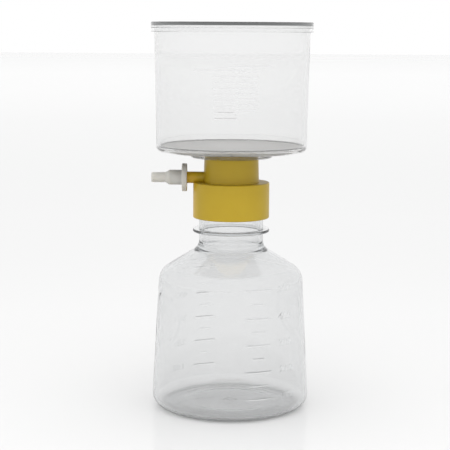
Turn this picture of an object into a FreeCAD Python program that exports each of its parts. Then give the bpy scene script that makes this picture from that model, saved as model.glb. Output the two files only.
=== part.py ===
import FreeCAD, Part
import math
import os
import Sketcher

# Vacuum filtration unit: a clear cup with a membrane floor, on a threaded neck adapter
# with a side port for a vacuum hose, on a clear receiver bottle.
# The origin is the middle of the bottle's base. +Z is up the bottle's axis, and the
# vacuum port points along -X. Millimetres and degrees.

os.makedirs("parts", exist_ok=True)
doc = FreeCAD.newDocument("vacuum_filtration_unit")


# ---------------------------------------------------------------------------
# The sheet of driving dimensions
# ---------------------------------------------------------------------------

sheet = doc.addObject("Spreadsheet::Sheet", "Sizes")


class Size:
    """A dimension that knows its number and the sheet formula that drives it."""

    def __init__(self, number, formula):
        self.number = float(number)
        self.formula = formula

    def combine(self, other, sign, number):
        return Size(number, f"({self.formula} {sign} {as_size(other).formula})")

    def __add__(self, other):
        return self.combine(other, "+", self.number + as_size(other).number)

    def __sub__(self, other):
        return self.combine(other, "-", self.number - as_size(other).number)

    def __mul__(self, other):
        return self.combine(other, "*", self.number * as_size(other).number)

    def __truediv__(self, other):
        return self.combine(other, "/", self.number / as_size(other).number)


def as_size(value):
    return value if isinstance(value, Size) else Size(value, repr(float(value)))


sheet_row = 0


def size(alias, number):
    """Writes one driving dimension into the sheet and returns it."""
    global sheet_row
    sheet_row += 1
    sheet.set(f"A{sheet_row}", alias.replace("_", " "))
    sheet.set(f"B{sheet_row}", str(number))
    sheet.setAlias(f"B{sheet_row}", alias)
    return Size(number, f"Sizes.{alias}")


# Receiver bottle
bottle_foot_radius = size("bottle_foot_radius", 49.5)
bottle_foot_inner_radius = size("bottle_foot_inner_radius", 36.0)
bottle_push_up_radius = size("bottle_push_up_radius", 26.0)
bottle_push_up_height = size("bottle_push_up_height", 1.0)
bottle_heel_round = size("bottle_heel_round", 7.0)
bottle_shoulder_radius = size("bottle_shoulder_radius", 44.75)
bottle_shoulder_height = size("bottle_shoulder_height", 85.7)
bottle_shoulder_round = size("bottle_shoulder_round", 7.0)
bottle_wall = size("bottle_wall", 1.7)
neck_radius = size("neck_radius", 20.0)
neck_root_height = size("neck_root_height", 101.0)
neck_root_round = size("neck_root_round", 7.5)
rim_height = size("rim_height", 136.5)
rim_round = size("rim_round", 0.5)
transfer_ring_radius = size("transfer_ring_radius", 23.9)
transfer_ring_height = size("transfer_ring_height", 110.5)
transfer_ring_thickness = size("transfer_ring_thickness", 1.7)
transfer_ring_round = size("transfer_ring_round", 0.6)
grip_radius = size("grip_radius", 17.5)
grip_height = size("grip_height", 59.2)
grip_depth = size("grip_depth", 0.5)
grip_azimuth = size("grip_azimuth", 204.7)

# Screw thread between bottle and adapter
thread_pitch = size("thread_pitch", 4.0)
thread_turns = size("thread_turns", 1.5)
thread_start_height = size("thread_start_height", 122.5)
bottle_thread_crest_radius = size("bottle_thread_crest_radius", 21.5)
bottle_thread_root_half_width = size("bottle_thread_root_half_width", 1.1)
bottle_thread_crest_half_width = size("bottle_thread_crest_half_width", 0.6)
adapter_thread_root_radius = size("adapter_thread_root_radius", 22.0)
adapter_thread_crest_radius = size("adapter_thread_crest_radius", 20.35)
adapter_thread_root_half_width = size("adapter_thread_root_half_width", 1.0)
adapter_thread_crest_half_width = size("adapter_thread_crest_half_width", 0.5)
thread_bite = size("thread_bite", 0.3)

# Neck adapter
collar_radius = size("collar_radius", 23.7)
collar_bottom_height = size("collar_bottom_height", 119.2)
collar_top_height = size("collar_top_height", 141.4)
collar_edge_round = size("collar_edge_round", 0.7)
gasket_thickness = size("gasket_thickness", 1.5)
gasket_inner_radius = size("gasket_inner_radius", 17.0)
gasket_outer_radius = size("gasket_outer_radius", 21.8)
adapter_neck_bottom_radius = size("adapter_neck_bottom_radius", 17.2)
adapter_neck_top_radius = size("adapter_neck_top_radius", 16.7)
adapter_neck_bore_radius = size("adapter_neck_bore_radius", 15.0)
port_height = size("port_height", 144.1)
port_radius = size("port_radius", 3.6)
port_bore_radius = size("port_bore_radius", 2.1)
port_reach = size("port_reach", 38.0)
plug_radius = size("plug_radius", 2.05)
plug_length = size("plug_length", 13.0)
plug_recess = size("plug_recess", 2.0)

# Hose adapter
hose_flange_reach = size("hose_flange_reach", 27.5)
hose_flange_radius = size("hose_flange_radius", 8.7)
hose_flange_thickness = size("hose_flange_thickness", 3.2)
hose_flange_round = size("hose_flange_round", 0.6)
hose_wide_step_radius = size("hose_wide_step_radius", 4.65)
hose_wide_step_end = size("hose_wide_step_end", 11.0)
hose_taper_end = size("hose_taper_end", 13.4)
hose_narrow_step_radius = size("hose_narrow_step_radius", 3.15)
hose_narrow_step_end = size("hose_narrow_step_end", 22.2)
hose_step_round = size("hose_step_round", 0.8)
hose_socket_radius = size("hose_socket_radius", 3.65)
hose_socket_depth = size("hose_socket_depth", 10.7)
hose_bore_radius = size("hose_bore_radius", 1.75)

# Filter base, under the cup
base_under_height = size("base_under_height", 160.7)
base_floor_thickness = size("base_floor_thickness", 1.4)
base_rim_height = size("base_rim_height", 164.0)
base_radius = size("base_radius", 46.6)
base_corner_round = size("base_corner_round", 3.2)
base_seat_radius = size("base_seat_radius", 43.0)
base_seat_height = size("base_seat_height", 163.2)
base_hub_radius = size("base_hub_radius", 25.1)
base_hub_bottom_height = size("base_hub_bottom_height", 156.9)
base_hub_bore_radius = size("base_hub_bore_radius", 16.9)
base_hub_edge_round = size("base_hub_edge_round", 0.5)
spout_radius = size("spout_radius", 4.5)
spout_bore_radius = size("spout_bore_radius", 3.0)
spout_bottom_height = size("spout_bottom_height", 139.0)
rib_count = size("rib_count", 12)
rib_half_width = size("rib_half_width", 0.6)
rib_inner_radius = size("rib_inner_radius", 7.0)
rib_outer_radius = size("rib_outer_radius", 38.0)

# Support plate, membrane and retaining ring
plate_radius = size("plate_radius", 45.0)
plate_thickness = size("plate_thickness", 0.5)
plate_slot_count = size("plate_slot_count", 24)
plate_slot_half_width = size("plate_slot_half_width", 0.6)
plate_slot_inner_radius = size("plate_slot_inner_radius", 12.0)
plate_slot_outer_radius = size("plate_slot_outer_radius", 41.0)
membrane_radius = size("membrane_radius", 45.0)
membrane_thickness = size("membrane_thickness", 0.2)
ring_inner_radius = size("ring_inner_radius", 43.9)
ring_outer_radius = size("ring_outer_radius", 45.05)
ring_thickness = size("ring_thickness", 0.7)
ring_notch_count = size("ring_notch_count", 6)
ring_notch_half_width = size("ring_notch_half_width", 0.8)
ring_notch_depth = size("ring_notch_depth", 0.4)
ring_notch_azimuth = size("ring_notch_azimuth", -4.0)

# Upper chamber (the cup) and its lid
cup_wall = size("cup_wall", 1.4)
cup_rim_height = size("cup_rim_height", 237.8)
cup_rim_radius = size("cup_rim_radius", 48.0)
cup_rim_round = size("cup_rim_round", 0.4)
lid_radius = size("lid_radius", 49.8)
lid_skirt_inner_radius = size("lid_skirt_inner_radius", 48.7)
lid_skirt_bottom_height = size("lid_skirt_bottom_height", 233.8)
lid_seat_radius = size("lid_seat_radius", 48.2)
lid_seat_bottom_height = size("lid_seat_bottom_height", 236.3)
lid_top_height = size("lid_top_height", 239.8)
lid_edge_round = size("lid_edge_round", 0.4)

doc.recompute()


# ---------------------------------------------------------------------------
# Drawing and feature helpers
# ---------------------------------------------------------------------------

def new_body(label):
    body = doc.addObject("PartDesign::Body", label)
    body.Label = label
    return body


def new_sketch(body, plane_role, name):
    """A sketch on one of the body's own origin planes."""
    sketch = body.newObject("Sketcher::SketchObject", name)
    plane = next(item for item in body.Origin.OriginFeatures if item.Role == plane_role)
    sketch.AttachmentSupport = (plane, [""])
    sketch.MapMode = "FlatFace"
    return sketch


def place_corner(sketch, direction, axis, line, value):
    """Dimensions one end of a line from the sketch origin, in one direction."""
    value = as_size(value)
    if abs(value.number) < 1e-9:
        sketch.addConstraint(Sketcher.Constraint("PointOnObject", line, 1, axis))
        return
    if value.number > 0:
        rule = Sketcher.Constraint(direction, -1, 1, line, 1, value.number)
        formula = value.formula
    else:
        rule = Sketcher.Constraint(direction, line, 1, -1, 1, -value.number)
        formula = f"-({value.formula})"
    index = sketch.addConstraint(rule)
    sketch.setExpression(f"Constraints[{index}]", formula)


def draw_outline(sketch, corners):
    """A closed outline of straight lines, every corner dimensioned from the origin."""
    vertical_axis = -2
    horizontal_axis = -1
    places = [FreeCAD.Vector(as_size(x).number, as_size(y).number, 0) for x, y in corners]
    for start, end in zip(places, places[1:] + places[:1]):
        sketch.addGeometry(Part.LineSegment(start, end), False)
    for line in range(len(corners)):
        following = (line + 1) % len(corners)
        sketch.addConstraint(Sketcher.Constraint("Coincident", line, 2, following, 1))
    for line, (x, y) in enumerate(corners):
        place_corner(sketch, "DistanceX", vertical_axis, line, x)
        place_corner(sketch, "DistanceY", horizontal_axis, line, y)


def draw_circle(sketch, radius, height):
    """A circle centred on the sketch's vertical axis at the given height."""
    centre = FreeCAD.Vector(0, height.number, 0)
    circle = sketch.addGeometry(Part.Circle(centre, FreeCAD.Vector(0, 0, 1), radius.number), False)
    sketch.addConstraint(Sketcher.Constraint("PointOnObject", circle, 3, -2))
    index = sketch.addConstraint(Sketcher.Constraint("DistanceY", -1, 1, circle, 3, height.number))
    sketch.setExpression(f"Constraints[{index}]", height.formula)
    index = sketch.addConstraint(Sketcher.Constraint("Radius", circle, radius.number))
    sketch.setExpression(f"Constraints[{index}]", radius.formula)


def turn(body, name, corners, kind="PartDesign::Revolution"):
    """Turns an outline of (radius, height) corners about the body's Z axis."""
    sketch = new_sketch(body, "XZ_Plane", name + "_section")
    draw_outline(sketch, corners)
    feature = body.newObject(kind, name)
    feature.Profile = sketch
    feature.ReferenceAxis = (sketch, ["V_Axis"])
    feature.Angle = 360
    doc.recompute()
    return feature


def circle_edges(feature, radius, height):
    """The names of a feature's edges that are circles of this radius at this height."""
    names = []
    for number, edge in enumerate(feature.Shape.Edges, start=1):
        curve = edge.Curve
        if not isinstance(curve, Part.Circle):
            continue
        near_radius = abs(curve.Radius - as_size(radius).number) < 0.02
        near_height = abs(curve.Center.z - as_size(height).number) < 0.02
        if near_radius and near_height:
            names.append(f"Edge{number}")
    return names


def round_edges(body, name, radius, circles):
    """A fillet on every edge that matches one of the (radius, height) circles."""
    base = body.Tip
    names = []
    for circle_radius, circle_height in circles:
        found = circle_edges(base, circle_radius, circle_height)
        if not found:
            raise ValueError(f"{name}: no edge at that radius and height")
        names += found
    fillet = body.newObject("PartDesign::Fillet", name)
    fillet.Base = (base, names)
    fillet.setExpression("Radius", radius.formula)
    doc.recompute()
    return fillet


def sketch_at_height(body, name, height):
    """A sketch on the body's XY plane, lifted to a height."""
    sketch = new_sketch(body, "XY_Plane", name)
    sketch.setExpression("AttachmentOffset.Base.z", height.formula)
    return sketch


def repeat_around(body, name, feature, sketch, count):
    """Repeats a feature evenly about the body's Z axis."""
    pattern = body.newObject("PartDesign::PolarPattern", name)
    pattern.Originals = [feature]
    pattern.Axis = (sketch, ["N_Axis"])
    pattern.Angle = 360
    pattern.setExpression("Occurrences", count.formula)
    body.Tip = pattern
    doc.recompute()
    return pattern


def cut_changes_volume(before, feature):
    """Stops the build if a cut pointed away from the solid and removed nothing."""
    if feature.Shape.Volume > before - 1e-3:
        raise ValueError(f"{feature.Name} removed nothing")


def winding_thread(body, name, corners):
    """A helical ridge of the common pitch and turns, from a section of (radius, height) corners."""
    sketch = new_sketch(body, "XZ_Plane", name + "_section")
    draw_outline(sketch, corners)
    helix = body.newObject("PartDesign::AdditiveHelix", name)
    helix.Profile = sketch
    helix.ReferenceAxis = (sketch, ["V_Axis"])
    helix.Mode = "pitch-turns-angle"
    helix.setExpression("Pitch", thread_pitch.formula)
    helix.setExpression("Turns", thread_turns.formula)
    helix.LeftHanded = False
    doc.recompute()
    return helix


# ---------------------------------------------------------------------------
# Receiver bottle: blown clear bottle with a threaded neck, a transfer ring and two
# shallow round thumb grips pressed into opposite sides of its wall
# ---------------------------------------------------------------------------

def bottle_radius_at(height):
    """The outside radius of the bottle's straight, slightly tapered wall."""
    taper = (bottle_foot_radius - bottle_shoulder_radius) / bottle_shoulder_height
    return bottle_foot_radius - taper * height


def build_receiver_bottle():
    body = new_body("bottle_wall_and_neck")
    turn(body, "BottleShape", [
        (0, bottle_push_up_height),
        (bottle_push_up_radius, bottle_push_up_height),
        (bottle_foot_inner_radius, 0),
        (bottle_foot_radius, 0),
        (bottle_shoulder_radius, bottle_shoulder_height),
        (neck_radius, neck_root_height),
        (neck_radius, rim_height),
        (0, rim_height),
    ])
    round_edges(body, "HeelRound", bottle_heel_round, [(bottle_foot_radius, 0)])
    round_edges(body, "ShoulderRound", bottle_shoulder_round,
                [(bottle_shoulder_radius, bottle_shoulder_height)])
    round_edges(body, "NeckRootRound", neck_root_round, [(neck_radius, neck_root_height)])

    # The bottle is hollow: one even wall, open at the rim.
    solid = body.Tip
    mouth = [
        f"Face{number}" for number, face in enumerate(solid.Shape.Faces, start=1)
        if face.BoundBox.ZMin > rim_height.number - 0.01
    ]
    shell = body.newObject("PartDesign::Thickness", "BottleWall")
    shell.Base = (solid, mouth)
    shell.setExpression("Value", bottle_wall.formula)
    shell.Mode = "Skin"
    shell.Join = "Arc"
    shell.Reversed = True
    doc.recompute()
    cut_changes_volume(solid.Shape.Volume, shell)

    ring_top = transfer_ring_height + transfer_ring_thickness
    ring_root = neck_radius - thread_bite
    turn(body, "TransferRing", [
        (ring_root, transfer_ring_height),
        (transfer_ring_radius, transfer_ring_height),
        (transfer_ring_radius, ring_top),
        (ring_root, ring_top),
    ])
    round_edges(body, "TransferRingRound", transfer_ring_round,
                [(transfer_ring_radius, transfer_ring_height), (transfer_ring_radius, ring_top)])
    round_edges(body, "RimRound", rim_round, [(neck_radius, rim_height)])

    thread_root = neck_radius - thread_bite
    winding_thread(body, "BottleThread", [
        (thread_root, thread_start_height - bottle_thread_root_half_width),
        (bottle_thread_crest_radius, thread_start_height - bottle_thread_crest_half_width),
        (bottle_thread_crest_radius, thread_start_height + bottle_thread_crest_half_width),
        (thread_root, thread_start_height + bottle_thread_root_half_width),
    ])

    # One round bar through the bottle marks both grips.
    grip_bar = doc.addObject("Part::Cylinder", "GripBar")
    bar_length = bottle_foot_radius * 2.2
    grip_bar.setExpression("Radius", grip_radius.formula)
    grip_bar.setExpression("Height", bar_length.formula)
    azimuth = math.radians(grip_azimuth.number)
    outward = FreeCAD.Vector(math.cos(azimuth), math.sin(azimuth), 0)
    middle = FreeCAD.Vector(0, 0, grip_height.number)
    start = middle - outward * (bar_length.number / 2)
    grip_bar.Placement = FreeCAD.Placement(start, FreeCAD.Rotation(FreeCAD.Vector(0, 0, 1), outward))

    # Inside the grips the same wall sits deeper.
    margin = grip_radius + 1.5
    low = grip_height - margin
    high = grip_height + margin
    pressed_wall = new_body("pressed_wall")
    turn(pressed_wall, "PressedWall", [
        (bottle_radius_at(low) - grip_depth - bottle_wall, low),
        (bottle_radius_at(low) - grip_depth, low),
        (bottle_radius_at(high) - grip_depth, high),
        (bottle_radius_at(high) - grip_depth - bottle_wall, high),
    ])

    opened = doc.addObject("Part::Cut", "WallWithoutGrips")
    opened.Base = body
    opened.Tool = grip_bar
    pads = doc.addObject("Part::Common", "GripPads")
    pads.Base = pressed_wall
    pads.Tool = grip_bar
    bottle = doc.addObject("Part::MultiFuse", "receiver_bottle")
    bottle.Shapes = [opened, pads]
    bottle.Label = "receiver_bottle"
    doc.recompute()
    return bottle


# ---------------------------------------------------------------------------
# Neck adapter: one yellow moulding. A threaded collar, a neck that carries the filter
# base, and a side port whose bore opens into the neck
# ---------------------------------------------------------------------------

def build_neck_adapter():
    body = new_body("neck_adapter")
    turn(body, "AdapterShape", [
        (0, collar_bottom_height),
        (collar_radius, collar_bottom_height),
        (collar_radius, collar_top_height),
        (adapter_neck_bottom_radius, collar_top_height),
        (adapter_neck_top_radius, base_under_height),
        (0, base_under_height),
    ])
    round_edges(body, "CollarRound", collar_edge_round,
                [(collar_radius, collar_bottom_height), (collar_radius, collar_top_height)])

    port_sketch = new_sketch(body, "YZ_Plane", "PortSection")
    draw_circle(port_sketch, port_radius, port_height)
    port = body.newObject("PartDesign::Pad", "VacuumPort")
    port.Profile = port_sketch
    port.setExpression("Length", port_reach.formula)
    port.Reversed = True
    doc.recompute()
    if port.Shape.BoundBox.XMin > 1 - port_reach.number:
        raise ValueError("the port points the wrong way")

    gasket_seat_height = rim_height + gasket_thickness
    before = body.Tip.Shape.Volume
    hollow = turn(body, "AdapterHollow", [
        (0, collar_bottom_height - 1),
        (adapter_thread_root_radius, collar_bottom_height - 1),
        (adapter_thread_root_radius, gasket_seat_height),
        (adapter_neck_bore_radius, gasket_seat_height),
        (adapter_neck_bore_radius, base_under_height + 1),
        (0, base_under_height + 1),
    ], "PartDesign::Groove")
    cut_changes_volume(before, hollow)

    bore_sketch = new_sketch(body, "YZ_Plane", "PortBoreSection")
    draw_circle(bore_sketch, port_bore_radius, port_height)
    bore = body.newObject("PartDesign::Pocket", "PortBore")
    bore.Profile = bore_sketch
    bore.setExpression("Length", (port_reach + 1).formula)
    bore.Reversed = False
    doc.recompute()
    cut_changes_volume(hollow.Shape.Volume, bore)

    # The thread fills the lower part of the collar, half a pitch under the bottle's thread.
    thread_height = thread_start_height - thread_pitch / 2
    thread_root = adapter_thread_root_radius + thread_bite
    winding_thread(body, "AdapterThread", [
        (thread_root, thread_height - adapter_thread_root_half_width),
        (thread_root, thread_height + adapter_thread_root_half_width),
        (adapter_thread_crest_radius, thread_height + adapter_thread_crest_half_width),
        (adapter_thread_crest_radius, thread_height - adapter_thread_crest_half_width),
    ])
    return body


def build_neck_gasket():
    """A flat soft ring pressed between the bottle's rim and the top of the collar."""
    body = new_body("neck_gasket")
    gasket_top = rim_height + gasket_thickness
    turn(body, "GasketRing", [
        (gasket_inner_radius, rim_height),
        (gasket_outer_radius, rim_height),
        (gasket_outer_radius, gasket_top),
        (gasket_inner_radius, gasket_top),
    ])
    return body


def point_along_port(part, reach):
    """Turns a part made along +Z to point along -X, starting at a reach from the axis."""
    minus_x = FreeCAD.Vector(-1, 0, 0)
    place = FreeCAD.Vector(-reach.number, 0, port_height.number)
    part.Placement = FreeCAD.Placement(place, FreeCAD.Rotation(FreeCAD.Vector(0, 0, 1), minus_x))
    part.setExpression("Placement.Base.x", f"-({reach.formula})")
    part.setExpression("Placement.Base.z", port_height.formula)


def build_port_cotton_plug():
    """The cotton plug that keeps air drawn through the port clean."""
    plug = doc.addObject("Part::Cylinder", "port_cotton_plug")
    plug.Label = "port_cotton_plug"
    plug.setExpression("Radius", plug_radius.formula)
    plug.setExpression("Height", plug_length.formula)
    point_along_port(plug, port_reach - plug_recess - plug_length)
    return plug


def build_hose_adapter():
    """The pale stepped hose adapter, made along +Z and pushed on the port along -X."""
    body = new_body("hose_adapter")
    turn(body, "HoseAdapterShape", [
        (hose_socket_radius, 0),
        (hose_flange_radius, 0),
        (hose_flange_radius, hose_flange_thickness),
        (hose_wide_step_radius, hose_flange_thickness),
        (hose_wide_step_radius, hose_wide_step_end),
        (hose_narrow_step_radius, hose_taper_end),
        (hose_narrow_step_radius, hose_narrow_step_end),
        (hose_bore_radius, hose_narrow_step_end),
        (hose_bore_radius, hose_socket_depth),
        (hose_socket_radius, hose_socket_depth),
    ])
    round_edges(body, "FlangeRound", hose_flange_round,
                [(hose_flange_radius, 0), (hose_flange_radius, hose_flange_thickness)])
    round_edges(body, "StepRound", hose_step_round,
                [(hose_narrow_step_radius, hose_narrow_step_end)])
    point_along_port(body, hose_flange_reach)
    return body


# ---------------------------------------------------------------------------
# Filter base: the clear dish under the membrane. Its rim carries the cup, its ribs carry
# the support plate, its hub holds the adapter's neck, and its spout drains into the bottle
# ---------------------------------------------------------------------------

def build_filter_base():
    body = new_body("filter_base")
    floor_top = base_under_height + base_floor_thickness
    seat_top = base_seat_height
    cup_inner_radius = base_radius - cup_wall
    turn(body, "BaseShape", [
        (spout_bore_radius, spout_bottom_height),
        (spout_radius, spout_bottom_height),
        (spout_radius, base_under_height),
        (base_hub_bore_radius, base_under_height),
        (base_hub_bore_radius, base_hub_bottom_height),
        (base_hub_radius, base_hub_bottom_height),
        (base_hub_radius, base_under_height),
        (base_radius, base_under_height),
        (base_radius, base_rim_height),
        (cup_inner_radius, base_rim_height),
        (cup_inner_radius, seat_top),
        (base_seat_radius, seat_top),
        (base_seat_radius, floor_top),
        (spout_bore_radius, floor_top),
    ])
    round_edges(body, "BaseCornerRound", base_corner_round, [(base_radius, base_under_height)])
    round_edges(body, "HubRound", base_hub_edge_round, [(base_hub_radius, base_hub_bottom_height)])

    rib_sketch = sketch_at_height(body, "RibSection", floor_top - 0.2)
    draw_outline(rib_sketch, [
        (rib_inner_radius, as_size(0) - rib_half_width),
        (rib_outer_radius, as_size(0) - rib_half_width),
        (rib_outer_radius, rib_half_width),
        (rib_inner_radius, rib_half_width),
    ])
    rib = body.newObject("PartDesign::Pad", "Rib")
    rib.Profile = rib_sketch
    rib.setExpression("Length", (seat_top - floor_top + 0.2).formula)
    doc.recompute()
    repeat_around(body, "Ribs", rib, rib_sketch, rib_count)
    return body


def build_support_plate():
    """The thin slotted plate that holds the membrane flat."""
    body = new_body("support_plate")
    plate_top = base_seat_height + plate_thickness
    turn(body, "Plate", [
        (0, base_seat_height),
        (plate_radius, base_seat_height),
        (plate_radius, plate_top),
        (0, plate_top),
    ])
    before = body.Tip.Shape.Volume
    slot_sketch = sketch_at_height(body, "SlotSection", base_seat_height - 1)
    draw_outline(slot_sketch, [
        (plate_slot_inner_radius, as_size(0) - plate_slot_half_width),
        (plate_slot_outer_radius, as_size(0) - plate_slot_half_width),
        (plate_slot_outer_radius, plate_slot_half_width),
        (plate_slot_inner_radius, plate_slot_half_width),
    ])
    slot = body.newObject("PartDesign::Pocket", "Slot")
    slot.Profile = slot_sketch
    slot.Reversed = True
    slot.setExpression("Length", (plate_thickness + 2).formula)
    doc.recompute()
    cut_changes_volume(before, slot)
    repeat_around(body, "Slots", slot, slot_sketch, plate_slot_count)
    return body


def build_membrane():
    """The white filter membrane, the whole floor of the cup."""
    membrane = doc.addObject("Part::Cylinder", "membrane")
    membrane.Label = "membrane"
    membrane.setExpression("Radius", membrane_radius.formula)
    membrane.setExpression("Height", membrane_thickness.formula)
    membrane.setExpression("Placement.Base.z", (base_seat_height + plate_thickness).formula)
    return membrane


def build_retaining_ring():
    """The clear ring that traps the membrane's edge, with six small notches in its top."""
    body = new_body("retaining_ring")
    bottom = base_seat_height + plate_thickness + membrane_thickness
    top = bottom + ring_thickness
    turn(body, "Ring", [
        (ring_inner_radius, bottom),
        (ring_outer_radius, bottom),
        (ring_outer_radius, top),
        (ring_inner_radius, top),
    ])
    before = body.Tip.Shape.Volume
    notch_sketch = sketch_at_height(body, "NotchSection", top - ring_notch_depth)
    draw_outline(notch_sketch, [
        (ring_inner_radius - 1, as_size(0) - ring_notch_half_width),
        (ring_outer_radius + 1, as_size(0) - ring_notch_half_width),
        (ring_outer_radius + 1, ring_notch_half_width),
        (ring_inner_radius - 1, ring_notch_half_width),
    ])
    notch = body.newObject("PartDesign::Pocket", "Notch")
    notch.Profile = notch_sketch
    notch.Reversed = True
    notch.setExpression("Length", (ring_notch_depth + 1).formula)
    doc.recompute()
    cut_changes_volume(before, notch)
    repeat_around(body, "Notches", notch, notch_sketch, ring_notch_count)
    turned = FreeCAD.Rotation(FreeCAD.Vector(0, 0, 1), ring_notch_azimuth.number)
    body.Placement = FreeCAD.Placement(FreeCAD.Vector(0, 0, 0), turned)
    return body


# ---------------------------------------------------------------------------
# Upper chamber and lid: the clear cup, welded on the filter base, and its loose cover
# ---------------------------------------------------------------------------

def build_upper_chamber():
    body = new_body("upper_chamber")
    turn(body, "CupWall", [
        (base_radius - cup_wall, base_rim_height),
        (base_radius, base_rim_height),
        (cup_rim_radius, cup_rim_height),
        (cup_rim_radius - cup_wall, cup_rim_height),
    ])
    round_edges(body, "CupRimRound", cup_rim_round,
                [(cup_rim_radius, cup_rim_height), (cup_rim_radius - cup_wall, cup_rim_height)])
    return body


def build_lid():
    """A flat plate on the cup's rim, with a skirt and a tighter seat round the rim."""
    body = new_body("lid")
    turn(body, "LidShape", [
        (0, cup_rim_height),
        (lid_seat_radius, cup_rim_height),
        (lid_seat_radius, lid_seat_bottom_height),
        (lid_skirt_inner_radius, lid_seat_bottom_height),
        (lid_skirt_inner_radius, lid_skirt_bottom_height),
        (lid_radius, lid_skirt_bottom_height),
        (lid_radius, lid_top_height),
        (0, lid_top_height),
    ])
    round_edges(body, "LidEdgeRound", lid_edge_round,
                [(lid_radius, lid_skirt_bottom_height), (lid_radius, lid_top_height)])
    return body


# ---------------------------------------------------------------------------
# Build, check and write every piece
# ---------------------------------------------------------------------------

pieces = [
    build_receiver_bottle(),
    build_neck_gasket(),
    build_neck_adapter(),
    build_port_cotton_plug(),
    build_hose_adapter(),
    build_filter_base(),
    build_support_plate(),
    build_membrane(),
    build_retaining_ring(),
    build_upper_chamber(),
    build_lid(),
]
doc.recompute()

for item in doc.Objects:
    if "Invalid" in item.State or "Error" in item.State:
        raise RuntimeError(f"{item.Name} failed: {item.State}")
for piece in pieces:
    if piece.Shape.isNull() or not piece.Shape.isValid():
        raise RuntimeError(f"{piece.Label} has no valid shape")
    if len(piece.Shape.Solids) != 1:
        raise RuntimeError(f"{piece.Label} is {len(piece.Shape.Solids)} solids, not one")
for piece in pieces:
    piece.Shape.exportStep(f"parts/{piece.Label}.step")
    box = piece.Shape.BoundBox
    volume = piece.Shape.Volume / 1000
    print(f"{piece.Label}: {volume:.2f} cm3, z {box.ZMin:.2f} to {box.ZMax:.2f}")
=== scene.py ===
import math

import bpy
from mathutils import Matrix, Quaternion, Vector


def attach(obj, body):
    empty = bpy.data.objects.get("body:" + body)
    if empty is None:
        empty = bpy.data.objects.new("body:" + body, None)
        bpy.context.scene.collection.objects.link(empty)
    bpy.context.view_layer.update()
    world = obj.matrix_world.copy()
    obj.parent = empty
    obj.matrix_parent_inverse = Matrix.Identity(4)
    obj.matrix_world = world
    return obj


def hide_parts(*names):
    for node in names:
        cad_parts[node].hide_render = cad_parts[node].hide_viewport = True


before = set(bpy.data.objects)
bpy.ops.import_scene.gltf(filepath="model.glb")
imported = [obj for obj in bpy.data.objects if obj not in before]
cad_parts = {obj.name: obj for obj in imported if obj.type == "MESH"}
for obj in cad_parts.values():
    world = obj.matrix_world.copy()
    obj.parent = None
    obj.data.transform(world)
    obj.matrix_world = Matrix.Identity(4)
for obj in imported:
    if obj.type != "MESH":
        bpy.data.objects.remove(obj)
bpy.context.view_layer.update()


# ---------------------------------------------------------------------------
# Receiver bottle. A clear blown bottle of hard plastic: one even wall, a pushed-up
# bottom, two round thumb grips pressed into its sides, raised volume marks on two
# opposite faces, a transfer ring, and a screw thread that carries the neck adapter.
# ---------------------------------------------------------------------------

def round_off(corners, loop=True):
    """The points along an outline of (radius, height, rounding) corners, in millimetres."""
    points = []
    for number, (radius, height, rounding) in enumerate(corners):
        corner = Vector((radius, height))
        if rounding == 0:
            points.append(corner)
            continue
        to_last = (Vector(corners[number - 1][:2]) - corner).normalized()
        to_next = (Vector(corners[(number + 1) % len(corners)][:2]) - corner).normalized()
        half = to_last.angle(to_next) / 2
        reach = rounding / math.tan(half)
        middle = corner + (to_last + to_next).normalized() * (rounding / math.sin(half))
        first, last = corner + to_last * reach - middle, corner + to_next * reach - middle
        sweep = math.pi - 2 * half
        steps = max(3, math.ceil(sweep / math.radians(18)), math.ceil(sweep * rounding / 0.75))
        for step in range(steps + 1):
            share = step / steps
            mixed = first * math.sin((1 - share) * sweep) + last * math.sin(share * sweep)
            points.append(middle + mixed / math.sin(sweep))
    return guard_edges(points, loop)


def guard_edges(points, loop):
    """Adds a point close to each end of every long straight run, which keeps its shading flat."""
    guarded = []
    pairs = list(zip(points, points[1:] + points[:1]))
    for start, end in pairs if loop else pairs[:-1]:
        guarded.append(start)
        run = end - start
        guard = min(0.15, run.length * 0.1)
        if run.length > 0.8:
            guarded += [start + run.normalized() * guard, end - run.normalized() * guard]
    return guarded if loop else guarded + [points[-1]]


def cross_rows(points, heights, widest=999.0, narrowest=0.0):
    """Adds points where straight runs of an outline pass the given heights."""
    rows = [points[0]]
    for start, end in zip(points, points[1:]):
        low, high = min(start.y, end.y), max(start.y, end.y)
        inside = [h for h in heights if low + 0.02 < h < high - 0.02]
        wanted = narrowest < min(start.x, end.x) and max(start.x, end.x) < widest
        if wanted and high - low > 0.5:
            shares = sorted((h - start.y) / (end.y - start.y) for h in inside)
            rows += [start.lerp(end, share) for share in shares]
        rows.append(end)
    return rows


def turn_piece(name, rows, angles, loop=True, press=None):
    """Turns an outline about the Z axis into one closed smooth skin, in metres."""
    corners, faces = [], []
    spans = []
    for number, row in enumerate(rows):
        if row.x < 1e-6:
            spans.append([len(corners)] * len(angles))
            corners.append((0, 0, row.y / 1000))
            continue
        spans.append([len(corners) + column for column in range(len(angles))])
        for angle in angles:
            radius, height = row.x, row.y
            if press:
                radius, height = press(number, angle, radius, height)
            turned = math.radians(angle)
            corners.append((
                radius * math.cos(turned) / 1000,
                radius * math.sin(turned) / 1000,
                height / 1000,
            ))
    pairs = list(zip(spans, spans[1:] + spans[:1]))
    for lower, upper in pairs if loop else pairs[:-1]:
        for column in range(len(angles)):
            beside = (column + 1) % len(angles)
            quad = [lower[column], lower[beside], upper[beside], upper[column]]
            face = list(dict.fromkeys(quad))
            if len(face) > 2:
                faces.append(face)
    mesh = bpy.data.meshes.new(name)
    mesh.from_pydata(corners, [], faces)
    mesh.validate()
    mesh.polygons.foreach_set("use_smooth", [True] * len(mesh.polygons))
    piece = bpy.data.objects.new(name, mesh)
    bpy.context.scene.collection.objects.link(piece)
    return piece


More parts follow.
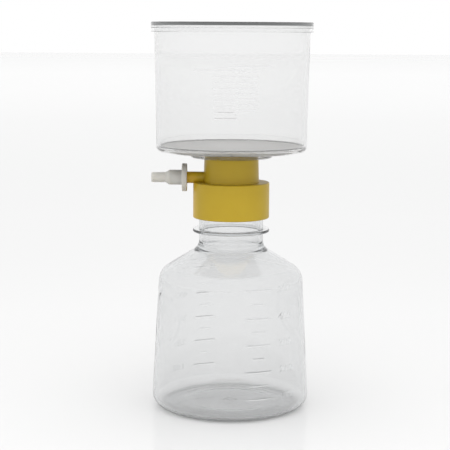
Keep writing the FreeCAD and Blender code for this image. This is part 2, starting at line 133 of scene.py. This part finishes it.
def even_angles(count):
    return [360 * step / count for step in range(count)]


def shift_outline(corners, wall):
    """The outline of the inside of an even wall, from the corners of its outside."""
    lines = []
    for (r0, z0, _), (r1, z1, _) in zip(corners, corners[1:]):
        along = Vector((r1 - r0, z1 - z0)).normalized()
        inward = Vector((-along.y, along.x)) * wall
        lines.append((Vector((r0, z0)) + inward, along))
    shifted = []
    for number, (radius, height, rounding) in enumerate(corners):
        if number in (0, len(corners) - 1):
            point = lines[0][0] if number == 0 else (
                lines[-1][0] + lines[-1][1] * (lines[-1][1].dot(
                    Vector((radius, height)) - lines[-1][0])))
            shifted.append((point.x, point.y, 0))
            continue
        (p, a), (q, b) = lines[number - 1], lines[number]
        turn = a.x * b.y - a.y * b.x
        step = ((q.x - p.x) * b.y - (q.y - p.y) * b.x) / turn
        point = p + a * step
        convex = turn > 0
        inner = rounding - wall if convex else rounding + wall
        shifted.append((point.x, point.y, max(inner, 0.4)))
    return shifted


bottle_wall = 1.7
bottle_outside = [
    (0, 1.0, 0), (26.0, 1.0, 25.0), (36.0, 0, 22.0), (49.5, 0, 8.0), (44.75, 85.7, 11.0),
    (20.0, 101.0, 7.5), (20.0, 136.5, 0),
]
bottle_inside = shift_outline(bottle_outside, bottle_wall)
# The wall is thicker inside the root of the neck, where the blown body meets the moulded neck.
neck_root = bottle_inside[-2]
bottle_inside[-2] = (neck_root[0], neck_root[1], 3.0)
bottle_ring = [(20.0, 110.5, 0.25), (23.9, 110.5, 0.6), (23.9, 112.2, 0.6), (20.0, 112.2, 0.25)]
gate_outside = [(0, 1.0, 0), (1.2, 1.0, 0.2), (1.6, 1.35, 0.2), (3.6, 1.35, 0.3), (4.2, 1.0, 0.3)]
gate_inside = [(0, 2.7, 0)]
bottle_corners = (
    gate_outside + bottle_outside[1:-1] + bottle_ring
    + [(20.0, 136.5, 0.5), (18.3, 136.5, 0.5)]
    + bottle_inside[-2:0:-1] + gate_inside
)

# Volume marks: the height and the number of each long line, and the short lines between.
bottle_marks = {14.6: "100", 31.0: "200", 47.2: "300", 63.3: "400", 80.7: "500"}
bottle_short_marks = [22.8, 39.1, 55.3, 72.0]
mark_half_height, mark_lift, short_mark_lift = 0.3, 0.3, 0.26
mark_start, mark_end, top_mark_end = 282, 301, 303.6
short_mark_start, short_mark_end = 286.5, 296
half_turn = 180
mark_rows = [
    height + step for height in [*bottle_marks, *bottle_short_marks]
    for step in (-0.62, -0.45, -0.22, 0.22, 0.45, 0.62)
]

# Thumb grips: two shallow round dishes on opposite sides.
grip_middles = (24.7, 204.7)
grip_height, grip_flat_radius, grip_radius, grip_depth = 59.2, 14.6, 18.2, 0.4
grip_rows = [41 + step for step in range(38)]

# Screw thread: one start, raised on the neck above the transfer ring.
neck_radius = 20
thread_rows = [119.5 + 0.35 * step for step in range(36)]
thread_start, thread_pitch, thread_turns = 122.5, 4.0, 1.5
thread_half_width, thread_flank, thread_depth, thread_run_out = 1.1, 0.5, 1.5, 18

bottle_rows = round_off(bottle_corners, loop=False)
top_row = max(range(len(bottle_rows)), key=lambda row: bottle_rows[row].y)
outside_rows = cross_rows(bottle_rows[:top_row + 1], mark_rows, narrowest=30)
outside_rows = cross_rows(outside_rows, grip_rows, narrowest=30)
outside_rows = cross_rows(outside_rows, thread_rows, narrowest=19.9, widest=20.1)
inside_rows = cross_rows(bottle_rows[top_row + 1:], grip_rows[::2], narrowest=30)
bottle_rows = outside_rows + inside_rows
top_row = len(outside_rows) - 1

bottle_angles = sorted(
    [1.5 * step for step in range(240) if not any(
        abs((1.5 * step - middle + 180) % 360 - 180) < 25 for middle in grip_middles)]
    + [middle + 0.9 * step for middle in grip_middles for step in range(-27, 28)]
)
bottle_angles = sorted(angle % 360 for angle in bottle_angles)


def soft_step(start, end, value):
    share = min(1.0, max(0.0, (value - start) / (end - start)))
    return share * share * (3 - 2 * share)


def between(angle, start, end):
    """How far an angle is inside an arc: 1 well inside, 0 outside, soft at both ends."""
    middle, half = (start + end) / 2, (end - start) / 2
    off = abs((angle - middle + 180) % 360 - 180)
    return 1 - soft_step(half - 0.3, half + 0.9, off)


def press_bottle(row, angle, radius, height):
    """Pushes in the thumb grips, and raises the volume marks and the screw thread."""
    outside = row <= top_row
    if radius > 30 and 40 < height < 79:
        for middle in grip_middles:
            sideways = radius * math.sin(math.radians(angle - middle))
            facing = math.cos(math.radians(angle - middle)) > 0
            from_middle = math.hypot(sideways, height - grip_height)
            if facing and from_middle < grip_radius:
                rise = soft_step(grip_flat_radius, grip_radius, from_middle)
                return radius - grip_depth * (1 - rise), height
    if outside and radius > 30:
        for mark in bottle_marks:
            if abs(height - mark) < mark_half_height:
                end = top_mark_end if mark == max(bottle_marks) else mark_end
                lift = max(between(angle, mark_start, end),
                           between(angle, mark_start - half_turn, end - half_turn))
                return radius + mark_lift * lift, height
        for mark in bottle_short_marks:
            if abs(height - mark) < mark_half_height:
                lift = max(
                    between(angle, short_mark_start, short_mark_end),
                    between(angle, short_mark_start - half_turn, short_mark_end - half_turn))
                return radius + short_mark_lift * lift, height
    if outside and abs(radius - neck_radius) < 0.01 and 119 < height < 133:
        for turn in (angle / 360, angle / 360 + 1):
            if turn > thread_turns:
                continue
            off = abs(height - thread_start - thread_pitch * turn)
            run_out = min(1, turn * thread_run_out, (thread_turns - turn) * thread_run_out)
            lift = min(1, max(0, (thread_half_width - off) / thread_flank)) * run_out
            if lift > 0:
                return radius + thread_depth * lift, height
    return radius, height


bottle = turn_piece("receiver_bottle_skin", bottle_rows, bottle_angles, loop=False,
                    press=press_bottle)


def raise_number(name, text, tall, place, lean, middle_angle, height, lift):
    """A raised number bent around a turned wall: place gives the wall's radius at a height."""
    letters = bpy.data.curves.new(name, "FONT")
    letters.body = text
    letters.size = tall * 1.38
    letters.align_x = "CENTER"
    letters.resolution_u = 3
    letters.extrude = 0.5
    flat = bpy.data.objects.new(name + "_flat", letters)
    bpy.context.scene.collection.objects.link(flat)
    mesh = bpy.data.meshes.new_from_object(
        flat.evaluated_get(bpy.context.evaluated_depsgraph_get()))
    bpy.data.objects.remove(flat)
    for corner in mesh.vertices:
        across, up, deep = corner.co
        climb = height + (up - tall / 2)
        radius = place(climb) + (lift if deep > 0 else 0.01)
        turned = math.radians(middle_angle) + across * lean / place(climb)
        corner.co = (
            radius * math.cos(turned) / 1000, radius * math.sin(turned) / 1000, climb / 1000)
    piece = bpy.data.objects.new(name, mesh)
    bpy.context.scene.collection.objects.link(piece)
    return piece


def bottle_radius(height):
    return 49.5 - (49.5 - 44.75) / 85.7 * height


# The numbers stand level with their lines, the top one a little lower.
top_number_height = 79.9
bottle_numbers = []
for mark_height, number in bottle_marks.items():
    for side, middle in (("front", 315.5), ("back", 135.5)):
        lower = min(mark_height, top_number_height)
        bottle_numbers.append(raise_number(
            f"bottle_number_{number}_{side}", number, 4.4, bottle_radius, 1.25,
            middle, lower + 0.4, 0.24))


def start_finish(name, constants):
    """A new finish, with the sockets of its shader that are the same all over the piece."""
    finish = bpy.data.materials.new(name)
    finish.use_nodes = True
    shader = finish.node_tree.nodes["Principled BSDF"]
    for socket, value in constants.items():
        shader.inputs[socket].default_value = value
    return finish, shader


def add_node(finish, kind, settings=None, links=None):
    """Adds a node, sets its plain sockets and joins the linked ones."""
    tree = finish.node_tree
    node = tree.nodes.new(kind)
    for socket, value in (settings or {}).items():
        if isinstance(socket, str) and socket.startswith("."):
            setattr(node, socket[1:], value)
        else:
            node.inputs[socket].default_value = value
    for socket, source in (links or {}).items():
        tree.links.new(source, node.inputs[socket])
    return node


def join_shader(finish, shader, sources):
    """Joins the outputs of nodes to sockets of a finish's shader."""
    for socket, source in sources.items():
        finish.node_tree.links.new(source, shader.inputs[socket])


def clear_moulding(name, tint, density, roughest, wave):
    """Clear hard plastic with slight waves and uneven polish, greyer where light goes further."""
    finish, shader = start_finish(name, {
        "Base Color": (1.0, 1.0, 1.0, 1.0),
        "Transmission Weight": 1.0,
        "IOR": 1.57,
    })
    place = add_node(finish, "ShaderNodeTexCoord").outputs["Object"]
    polish = add_node(finish, "ShaderNodeTexNoise", {"Scale": 140.0, "Detail": 4.0},
                      {"Vector": place})
    rough = add_node(finish, "ShaderNodeMapRange",
                     {"From Min": 0.35, "From Max": 0.75, "To Min": 0.012, "To Max": roughest},
                     {"Value": polish.outputs["Fac"]})
    waves = add_node(finish, "ShaderNodeTexNoise", {"Scale": 45.0, "Detail": 1.0},
                     {"Vector": place})
    bump = add_node(finish, "ShaderNodeBump", {"Strength": 1.0, "Distance": wave},
                    {"Height": waves.outputs["Fac"]})
    join_shader(finish, shader, {
        "Roughness": rough.outputs["Result"], "Normal": bump.outputs["Normal"]})
    body = add_node(finish, "ShaderNodeVolumeAbsorption", {"Color": tint, "Density": density})
    finish.node_tree.links.new(
        body.outputs["Volume"], finish.node_tree.nodes["Material Output"].inputs["Volume"])
    return finish


bottle_finish = clear_moulding("clear blown bottle", (0.50, 0.52, 0.53, 1.0), 120.0, 0.035, 0.00006)
bottle.data.materials.append(bottle_finish)
bottle.visible_shadow = False
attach(bottle, "receiver")
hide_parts("receiver_bottle")
for number in bottle_numbers:
    number.data.materials.clear()
    number.data.materials.append(bottle_finish)
    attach(number, "receiver")


# ---------------------------------------------------------------------------
# Neck gasket. A flat ring of soft pale rubber, pressed between the bottle's rim and the
# top of the collar, so that the bottle can be drawn down to a vacuum.
# ---------------------------------------------------------------------------

def put_on(node, finish):
    """Gives a CAD piece its finish."""
    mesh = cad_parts[node].data
    mesh.materials.clear()
    mesh.materials.append(finish)


rubber_finish, rubber = start_finish("soft pale rubber", {
    "Base Color": (0.62, 0.61, 0.58, 1.0),
    "Specular IOR Level": 0.35,
})
rubber_place = add_node(rubber_finish, "ShaderNodeTexCoord").outputs["Object"]
rubber_grain = add_node(rubber_finish, "ShaderNodeTexNoise", {"Scale": 2600.0, "Detail": 6.0},
                        {"Vector": rubber_place})
rubber_rough = add_node(rubber_finish, "ShaderNodeMapRange", {"To Min": 0.55, "To Max": 0.8},
                        {"Value": rubber_grain.outputs["Fac"]})
rubber_bump = add_node(rubber_finish, "ShaderNodeBump", {"Strength": 0.3, "Distance": 0.00008},
                       {"Height": rubber_grain.outputs["Fac"]})
join_shader(rubber_finish, rubber, {
    "Roughness": rubber_rough.outputs["Result"],
    "Normal": rubber_bump.outputs["Normal"],
})
put_on("neck_gasket", rubber_finish)


# ---------------------------------------------------------------------------
# Neck adapter. One yellow injection moulding of polyolefin with a satin skin: a threaded
# collar that screws on the bottle, a neck under the filter base, and the vacuum port.
# ---------------------------------------------------------------------------

yellow_finish, yellow = start_finish("yellow satin moulding", {
    "Subsurface Weight": 0.12,
    "Subsurface Radius": (0.0022, 0.0014, 0.0003),
    "Subsurface Scale": 1.0,
    "Specular IOR Level": 0.45,
})
yellow_place = add_node(yellow_finish, "ShaderNodeTexCoord").outputs["Object"]
yellow_flow = add_node(yellow_finish, "ShaderNodeTexNoise", {"Scale": 60.0, "Detail": 3.0},
                       {"Vector": yellow_place})
yellow_shades = add_node(yellow_finish, "ShaderNodeMix", {
    ".data_type": "RGBA",
    "A": (0.43, 0.288, 0.010, 1.0),
    "B": (0.48, 0.333, 0.015, 1.0),
}, {"Factor": yellow_flow.outputs["Fac"]})
# The thin tube of the port is painted a little lighter than the collar and the neck: painted light
# that makes up for the shade the hose adapter's flange and the filter above cast on it.
tube_painted_light_mask = add_node(yellow_finish, "ShaderNodeMapRange",
                       {"From Min": -0.020, "From Max": -0.025}, {
    "Value": add_node(yellow_finish, "ShaderNodeSeparateXYZ", {},
                      {"Vector": yellow_place}).outputs["X"]})
# Colour B is painted light on the tube, not a different plastic.
yellow_with_painted_tube_light = add_node(yellow_finish, "ShaderNodeMix", {
    ".data_type": "RGBA",
    "B": (0.60, 0.375, 0.014, 1.0),
}, {"Factor": tube_painted_light_mask.outputs["Result"], "A": yellow_shades.outputs["Result"]})
yellow_grain = add_node(yellow_finish, "ShaderNodeTexNoise", {"Scale": 3000.0, "Detail": 5.0},
                        {"Vector": yellow_place})
yellow_rough = add_node(yellow_finish, "ShaderNodeMapRange", {"To Min": 0.3, "To Max": 0.5},
                        {"Value": yellow_grain.outputs["Fac"]})
yellow_bump = add_node(yellow_finish, "ShaderNodeBump", {"Strength": 0.15, "Distance": 0.00005},
                       {"Height": yellow_grain.outputs["Fac"]})
join_shader(yellow_finish, yellow, {
    "Base Color": yellow_with_painted_tube_light.outputs["Result"],
    "Roughness": yellow_rough.outputs["Result"],
    "Normal": yellow_bump.outputs["Normal"],
})
put_on("neck_adapter", yellow_finish)


# ---------------------------------------------------------------------------
# Cotton plug. A short roll of white cotton pushed into the bore of the port, which keeps
# dust out of the bottle. It shows only from the open end of the port.
# ---------------------------------------------------------------------------

cotton_finish, cotton = start_finish("white cotton", {
    "Roughness": 0.95,
    "Sheen Weight": 0.5,
    "Specular IOR Level": 0.1,
})
cotton_place = add_node(cotton_finish, "ShaderNodeTexCoord").outputs["Object"]
cotton_fibres = add_node(cotton_finish, "ShaderNodeTexNoise",
                         {"Scale": 2200.0, "Detail": 8.0, "Distortion": 2.5},
                         {"Vector": cotton_place})
cotton_shades = add_node(cotton_finish, "ShaderNodeMix", {
    ".data_type": "RGBA",
    "A": (0.70, 0.69, 0.66, 1.0),
    "B": (0.90, 0.89, 0.87, 1.0),
}, {"Factor": cotton_fibres.outputs["Fac"]})
cotton_bump = add_node(cotton_finish, "ShaderNodeBump", {"Strength": 0.8, "Distance": 0.0003},
                       {"Height": cotton_fibres.outputs["Fac"]})
join_shader(cotton_finish, cotton, {
    "Base Color": cotton_shades.outputs["Result"],
    "Normal": cotton_bump.outputs["Normal"],
})
put_on("port_cotton_plug", cotton_finish)


# ---------------------------------------------------------------------------
# Hose adapter. A loose stepped fitting of uncoloured polypropylene, milky and slightly
# see-through, pushed on the yellow port. Its flange is the stop for the hose and fingers.
# ---------------------------------------------------------------------------

milky_finish, milky = start_finish("milky natural moulding", {
    "Subsurface Weight": 0.55,
    "Subsurface Radius": (0.004, 0.0037, 0.0032),
    "Subsurface Scale": 1.0,
    "Specular IOR Level": 0.45,
})
milky_place = add_node(milky_finish, "ShaderNodeTexCoord").outputs["Object"]
milky_flow = add_node(milky_finish, "ShaderNodeTexNoise", {"Scale": 150.0, "Detail": 3.0},
                      {"Vector": milky_place})
milky_shades = add_node(milky_finish, "ShaderNodeMix", {
    ".data_type": "RGBA",
    "A": (0.49, 0.47, 0.43, 1.0),
    "B": (0.57, 0.56, 0.52, 1.0),
}, {"Factor": milky_flow.outputs["Fac"]})
milky_grain = add_node(milky_finish, "ShaderNodeTexNoise", {"Scale": 2500.0, "Detail": 5.0},
                       {"Vector": milky_place})
milky_rough = add_node(milky_finish, "ShaderNodeMapRange", {"To Min": 0.28, "To Max": 0.45},
                       {"Value": milky_grain.outputs["Fac"]})
milky_bump = add_node(milky_finish, "ShaderNodeBump", {"Strength": 0.12, "Distance": 0.00005},
                      {"Height": milky_grain.outputs["Fac"]})
join_shader(milky_finish, milky, {
    "Base Color": milky_shades.outputs["Result"],
    "Roughness": milky_rough.outputs["Result"],
    "Normal": milky_bump.outputs["Normal"],
})
put_on("hose_adapter", milky_finish)


# ---------------------------------------------------------------------------
# Filter base. A clear dish moulded with a hub that grips the adapter's neck, twelve ribs
# under the support plate, and a spout down into the bottle. The cup is welded to its rim.
# ---------------------------------------------------------------------------

base_corners = [
    (3.0, 139.0, 0.2), (4.5, 139.0, 0.3), (4.5, 160.7, 0.3), (16.9, 160.7, 0.2),
    (16.9, 156.9, 0.2), (25.1, 156.9, 0.5), (25.1, 160.7, 0.5), (46.6, 160.7, 3.2),
    (46.6, 163.95, 0.1), (45.2, 163.95, 0.1), (45.2, 163.15, 0.1), (43.0, 163.15, 0.1),
    (43.0, 162.1, 0.3), (3.0, 162.1, 0.3),
]
base = turn_piece("filter_base_skin", round_off(base_corners), even_angles(288))
base_finish = clear_moulding("clear moulded base", (0.50, 0.49, 0.457, 1.0), 30.0, 0.05, 0.00006)
base.data.materials.append(base_finish)
base.visible_shadow = False
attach(base, "filter_top")
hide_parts("filter_base")

rib_corners, rib_faces = [], []
for rib in range(12):
    turned = math.radians(30 * rib)
    along = Vector((math.cos(turned), math.sin(turned), 0))
    aside = Vector((-math.sin(turned), math.cos(turned), 0))
    ring = len(rib_corners)
    for reach in (7.0, 38.0):
        for side, rise in ((-0.6, 162.12), (0.6, 162.12), (0.45, 163.05), (-0.45, 163.05)):
            rib_corners.append((along * reach + aside * side + Vector((0, 0, rise))) / 1000)
    rib_faces += [[ring + corner for corner in face] for face in (
        (3, 2, 1, 0), (4, 5, 6, 7), (0, 1, 5, 4), (1, 2, 6, 5), (2, 3, 7, 6), (3, 0, 4, 7))]
rib_mesh = bpy.data.meshes.new("filter_base_ribs")
rib_mesh.from_pydata(rib_corners, [], rib_faces)
ribs = bpy.data.objects.new("filter_base_ribs", rib_mesh)
bpy.context.scene.collection.objects.link(ribs)
rib_edges = ribs.modifiers.new("softened edges", "BEVEL")
rib_edges.width = 0.00012
rib_edges.segments = 2
rib_mesh.materials.append(base_finish)
ribs.visible_shadow = False
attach(ribs, "filter_top")


# ---------------------------------------------------------------------------
# Support plate and membrane. A thin white slotted plate lies on the ribs, and a white
# microporous membrane lies on the plate: together they are the floor of the cup.
# ---------------------------------------------------------------------------

plate_finish, plate = start_finish("white support moulding", {"Specular IOR Level": 0.4})
plate_place = add_node(plate_finish, "ShaderNodeTexCoord").outputs["Object"]
plate_grain = add_node(plate_finish, "ShaderNodeTexNoise", {"Scale": 1800.0, "Detail": 5.0},
                       {"Vector": plate_place})
plate_shades = add_node(plate_finish, "ShaderNodeMix", {
    ".data_type": "RGBA",
    "A": (0.78, 0.77, 0.75, 1.0),
    "B": (0.86, 0.85, 0.83, 1.0),
}, {"Factor": plate_grain.outputs["Fac"]})
plate_rough = add_node(plate_finish, "ShaderNodeMapRange", {"To Min": 0.4, "To Max": 0.6},
                       {"Value": plate_grain.outputs["Fac"]})
plate_bump = add_node(plate_finish, "ShaderNodeBump", {"Strength": 0.2, "Distance": 0.00005},
                      {"Height": plate_grain.outputs["Fac"]})
join_shader(plate_finish, plate, {
    "Base Color": plate_shades.outputs["Result"],
    "Roughness": plate_rough.outputs["Result"],
    "Normal": plate_bump.outputs["Normal"],
})
put_on("support_plate", plate_finish)

membrane_finish, membrane = start_finish("white filter membrane", {"Specular IOR Level": 0.25})
membrane_place = add_node(membrane_finish, "ShaderNodeTexCoord").outputs["Object"]
membrane_pores = add_node(membrane_finish, "ShaderNodeTexNoise",
                          {"Scale": 5200.0, "Detail": 6.0}, {"Vector": membrane_place})
membrane_clouds = add_node(membrane_finish, "ShaderNodeTexNoise",
                           {"Scale": 90.0, "Detail": 3.0}, {"Vector": membrane_place})
membrane_shades = add_node(membrane_finish, "ShaderNodeMix", {
    ".data_type": "RGBA",
    "A": (0.72, 0.709, 0.697, 1.0),
    "B": (0.76, 0.750, 0.738, 1.0),
}, {"Factor": membrane_clouds.outputs["Fac"]})
membrane_rough = add_node(membrane_finish, "ShaderNodeMapRange", {"To Min": 0.7, "To Max": 0.95},
                          {"Value": membrane_pores.outputs["Fac"]})
membrane_bump = add_node(membrane_finish, "ShaderNodeBump",
                         {"Strength": 0.35, "Distance": 0.00006},
                         {"Height": membrane_pores.outputs["Fac"]})
join_shader(membrane_finish, membrane, {
    "Base Color": membrane_shades.outputs["Result"],
    "Roughness": membrane_rough.outputs["Result"],
    "Normal": membrane_bump.outputs["Normal"],
})
put_on("membrane", membrane_finish)


# ---------------------------------------------------------------------------
# Retaining ring. A narrow ring of clear plastic pressed down on the membrane's edge, with six
# small notches in its top. Its plastic is made dark and smoky as painted shade, which draws the
# dark line of shade round the membrane's edge.
# ---------------------------------------------------------------------------

notch_middles = [60 * notch - 4 for notch in range(6)]
notch_half_width, notch_depth, notch_floor = 1.1, 0.4, 164.25
ring_angles = sorted(angle % 360 for angle in even_angles(288) + [
    middle + step for middle in notch_middles for step in (-1.25, -1.0, 1.0, 1.25)])


def cut_notches(row, angle, radius, height):
    """Lowers the ring's top at each notch."""
    off = min(abs((angle - middle + 180) % 360 - 180) for middle in notch_middles)
    if off < notch_half_width and height > notch_floor:
        return radius, height - notch_depth
    return radius, height


ring_corners = [(43.9, 163.93, 0.1), (45.05, 163.93, 0.1), (45.05, 164.6, 0.12),
                (43.9, 164.6, 0.12)]
ring = turn_piece("retaining_ring_skin", round_off(ring_corners), ring_angles,
                  press=cut_notches)
# The ring's heavy absorption is painted shade: it darkens the ring to stand for the shade at the
# membrane's edge.
ring_painted_shade_finish = clear_moulding("clear ring, smoky as painted shade", (0.50, 0.50, 0.49, 1.0), 1500.0, 0.05, 0.00006)
ring.data.materials.append(ring_painted_shade_finish)
ring.visible_shadow = False
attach(ring, "filter_top")
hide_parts("retaining_ring")


# ---------------------------------------------------------------------------
# Upper chamber. The clear cup that holds the liquid, a slightly flared injection moulding
# with a raised scale on two opposite faces, welded by its foot to the filter base.
# ---------------------------------------------------------------------------

def cup_radius(height):
    return 46.6 + 1.4 * (height - 164.0) / 73.8


cup_corners = [(45.2, 163.98, 0.1), (46.6, 163.98, 0.1), (48.0, 237.76, 0.4), (46.6, 237.76, 0.4)]
cup_marks = [183.5 + 3.53 * step for step in range(9)]
cup_mark_arc, cup_top_mark_arc, cup_back_scale = (257.7, 272.8), (244, 276), 187.5
cup_mark_half_height, cup_mark_lift = 0.2, 0.11
cup_mark_rows = [mark + step for mark in cup_marks for step in (-0.45, -0.3, -0.15, 0.15, 0.3, 0.45)]
cup_rows = cross_rows(round_off(cup_corners), cup_mark_rows, narrowest=46.4)


def press_cup(row, angle, radius, height):
    """Raises the lines of the two scales."""
    if radius > cup_radius(height) - 0.05:
        for mark in cup_marks:
            if abs(height - mark) < cup_mark_half_height:
                start, end = cup_top_mark_arc if mark == cup_marks[-1] else cup_mark_arc
                lift = max(between(angle, start, end),
                           between(angle, start - cup_back_scale, end - cup_back_scale))
                return radius + cup_mark_lift * lift, height
    return radius, height


cup = turn_piece("upper_chamber_skin", cup_rows, even_angles(360), press=press_cup)
cup_finish = clear_moulding("clear moulded cup", (0.50, 0.51, 0.51, 1.0), 85.0, 0.03, 0.00004)
cup.data.materials.append(cup_finish)
cup.visible_shadow = False
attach(cup, "filter_top")
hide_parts("upper_chamber")
for step, number in ((0, "100"), (2, "150"), (4, "200"), (6, "250"), (8, "300")):
    for side, middle in (("front", 279.5), ("back", 94.5)):
        digits = raise_number(f"cup_number_{number}_{side}", number, 2.8, cup_radius, 1.2,
                              middle, cup_marks[step], 0.18)
        digits.data.materials.clear()
        digits.data.materials.append(cup_finish)
        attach(digits, "filter_top")


# ---------------------------------------------------------------------------
# Lid. A loose clear cover that drops over the rim of the cup: a flat moulded plate, and a
# short skirt round it with a tighter seat at its root that centres it on the rim.
# ---------------------------------------------------------------------------

lid_corners = [
    (0, 237.82, 0), (48.2, 237.82, 0.3), (48.2, 236.3, 0.2), (48.7, 236.3, 0.2),
    (48.7, 233.8, 0.2), (49.8, 233.8, 0.4), (49.8, 239.8, 0.4), (0, 239.8, 0),
]
lid = turn_piece("lid_skin", round_off(lid_corners, loop=False), even_angles(288), loop=False)
lid_finish = clear_moulding("clear moulded lid", (0.50, 0.51, 0.51, 1.0), 40.0, 0.02, 0.00001)
lid.data.materials.append(lid_finish)
lid.visible_shadow = False
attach(lid, "filter_top")
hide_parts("lid")


# ---------------------------------------------------------------------------
# The setting: a plain pale table top in an evenly white room, soft lamps above and in front,
# and the camera in front of the object, a little above the collar.
# ---------------------------------------------------------------------------

table_size = 12.0
table_mesh = bpy.data.meshes.new("table_top")
table_mesh.from_pydata(
    [(x * table_size, y * table_size, -0.0001) for x, y in ((-1, -1), (1, -1), (1, 1), (-1, 1))],
    [], [(0, 1, 2, 3)])
table = bpy.data.objects.new("table_top", table_mesh)
bpy.context.scene.collection.objects.link(table)
table_finish = start_finish("plain pale table", {
    "Base Color": (0.8, 0.8, 0.8, 1.0),
    "Roughness": 0.12,
    "Specular IOR Level": 0.5,
})[0]
table_mesh.materials.append(table_finish)

room = bpy.data.worlds.new("white room")
bpy.context.scene.world = room
room.use_nodes = True
room.node_tree.nodes["Background"].inputs["Color"].default_value = (1.0, 1.0, 1.0, 1.0)
room.node_tree.nodes["Background"].inputs["Strength"].default_value = 1.0


def hang_lamp(name, place, aim, wide, power):
    lamp = bpy.data.lights.new(name, "AREA")
    lamp.shape = "SQUARE"
    lamp.size = wide
    lamp.energy = power
    holder = bpy.data.objects.new(name, lamp)
    bpy.context.scene.collection.objects.link(holder)
    holder.location = place
    holder.rotation_euler = (Vector(aim) - Vector(place)).to_track_quat("-Z", "Y").to_euler()
    holder.visible_glossy = False
    holder.visible_transmission = False
    return holder


hang_lamp("lamp_above", (0.0, -0.5, 1.0), (0, 0, 0.15), 0.9, 3.51)
hang_lamp("lamp_front_right", (0.85, -1.0, 0.2), (0, 0, 0.13), 0.6, 1.94)
hang_lamp("lamp_front_left", (-0.75, -1.05, 0.2), (0, 0, 0.13), 0.6, 2.21)

camera_data = bpy.data.cameras.new("camera")
camera_data.sensor_width = 36.0
camera_data.lens = 112.0
camera = bpy.data.objects.new("camera", camera_data)
bpy.context.scene.collection.objects.link(camera)
camera.location = (-0.00375, -0.8664, 0.2365)
look = Vector((-0.00375, 0.0, 0.11425)) - camera.location
camera.rotation_mode = "QUATERNION"
camera.rotation_quaternion = (
    look.to_track_quat("-Z", "Y") @ Quaternion((0, 0, 1), math.radians(0.34)))
bpy.context.scene.camera = camera

bpy.context.scene.view_settings.view_transform = "Standard"
bpy.context.scene.cycles.max_bounces = 24
bpy.context.scene.cycles.transmission_bounces = 24
bpy.context.scene.cycles.glossy_bounces = 12
